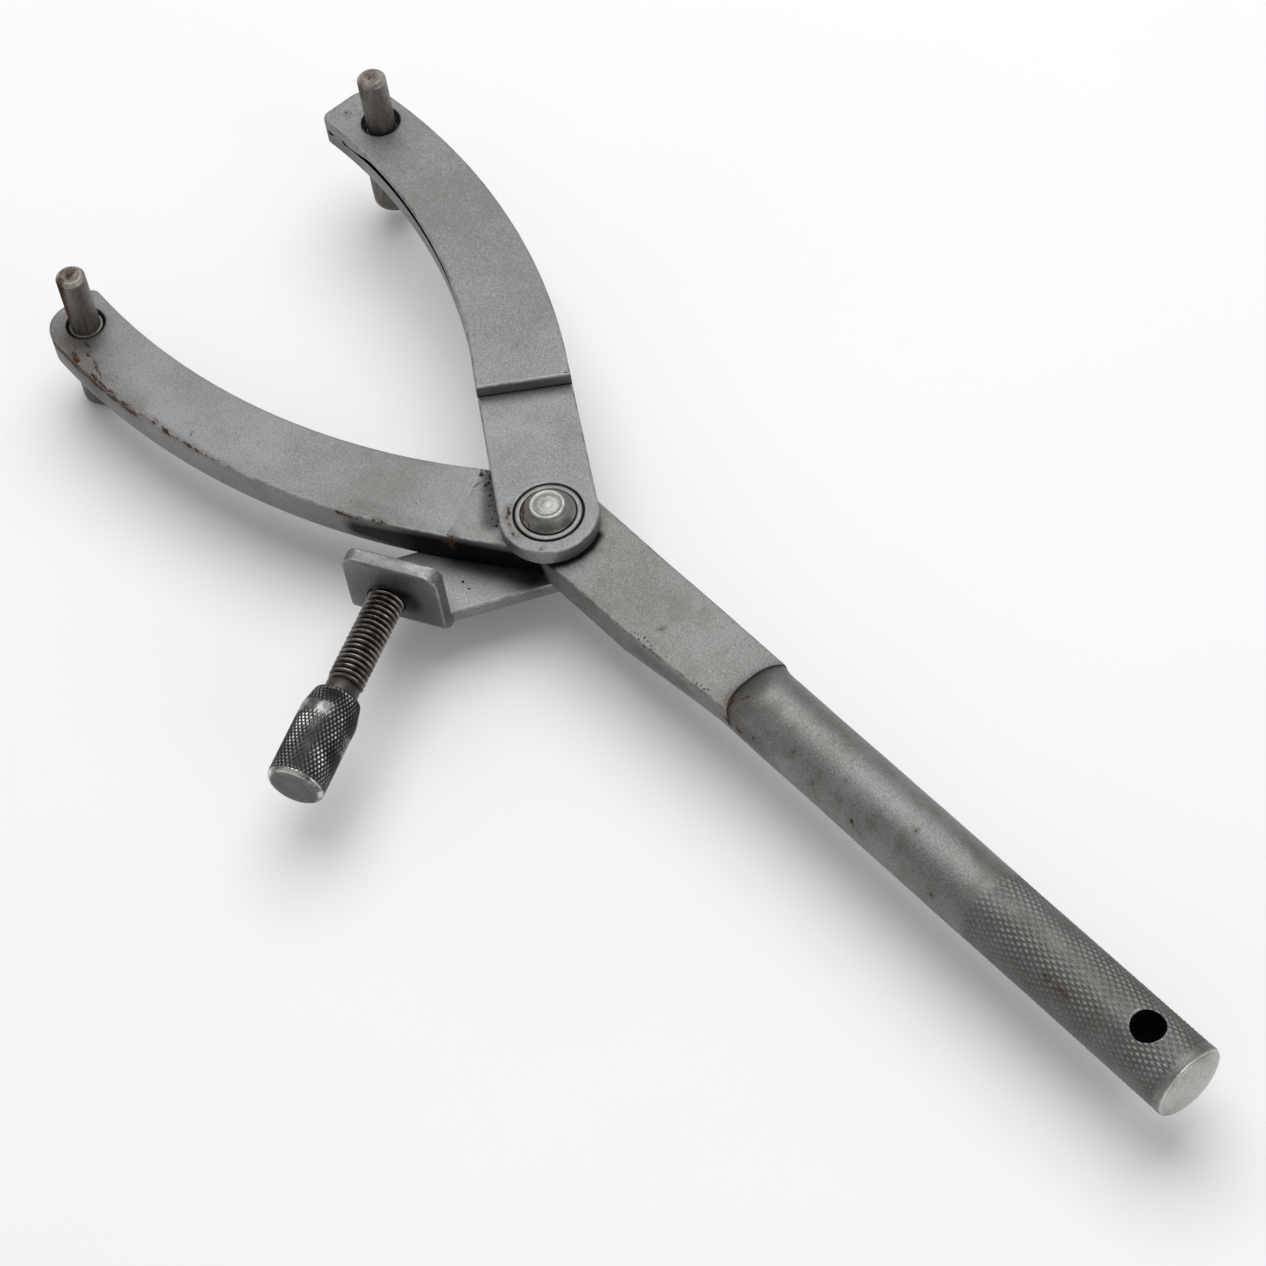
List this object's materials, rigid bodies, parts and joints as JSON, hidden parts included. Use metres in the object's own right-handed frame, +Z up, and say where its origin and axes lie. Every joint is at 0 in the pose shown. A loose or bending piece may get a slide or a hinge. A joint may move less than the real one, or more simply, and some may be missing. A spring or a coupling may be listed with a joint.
{
  "type": "adjustable pin spanner",
  "caption": "Hand tool with a round knurled handle, a fixed and a swinging curved jaw with stepped pins, and a knurled screw that sets the jaw opening.",
  "frame": {"origin": "middle of the hang hole, on the axis of the round bar", "axes": "+X along the bar away from the jaws, +Y towards the swinging jaw, +Z up out of the side that carries the swinging jaw"},
  "size_m": [0.3009, 0.1274, 0.0441],
  "materials": {
    "blasted_steel": "bead blasted, satin grey with a few rust stains",
    "weld_steel": "rough, pitted, part ground",
    "rusty_pin_steel": "turned, with thin brown rust",
    "rivet_steel": "turned and rubbed bright",
    "sheet_steel": "bead blasted sheet, satin",
    "screw_steel": "black oxide with oil and rust in the thread",
    "knob_steel": "knurled, dark with bright crests"
  },
  "bodies": {
    "bar": {"handle_bar": "blasted_steel", "fixed_jaw": "blasted_steel", "jaw_weld": "weld_steel", "fixed_pin": "rusty_pin_steel"},
    "swing_jaw": {"swing_plate": "blasted_steel", "doubler_plate": "blasted_steel", "tack_weld": "weld_steel", "swing_pin": "rusty_pin_steel", "pivot_rivet": "rivet_steel", "pivot_washer": "rivet_steel", "screw_bracket": "sheet_steel"},
    "screw": {"adjusting_screw": "screw_steel"},
    "knob": {"knob": "knob_steel"}
  },
  "joints": [
    {"name": "jaw_pivot", "type": "hinge", "parent": "bar", "child": "swing_jaw", "pos_m": [-0.168, -0.003, 0], "axis": [0, 0, 1], "range_deg": [-8, 31]},
    {"name": "screw_feed", "type": "slide", "parent": "swing_jaw", "child": "screw", "axis": [-0.4741, 0.8805, 0], "range_m": [-0.0025, 0.00625]},
    {"name": "knob_turn", "type": "hinge", "parent": "screw", "child": "knob", "pos_m": [-0.16315, -0.06853, 0], "axis": [-0.4741, 0.8805, 0], "range_deg": [-721, 1801]}
  ],
  "couplings": [
    {"joint": "knob_turn", "follows": "screw_feed", "rad_per_m": 5026.5}
  ]
}
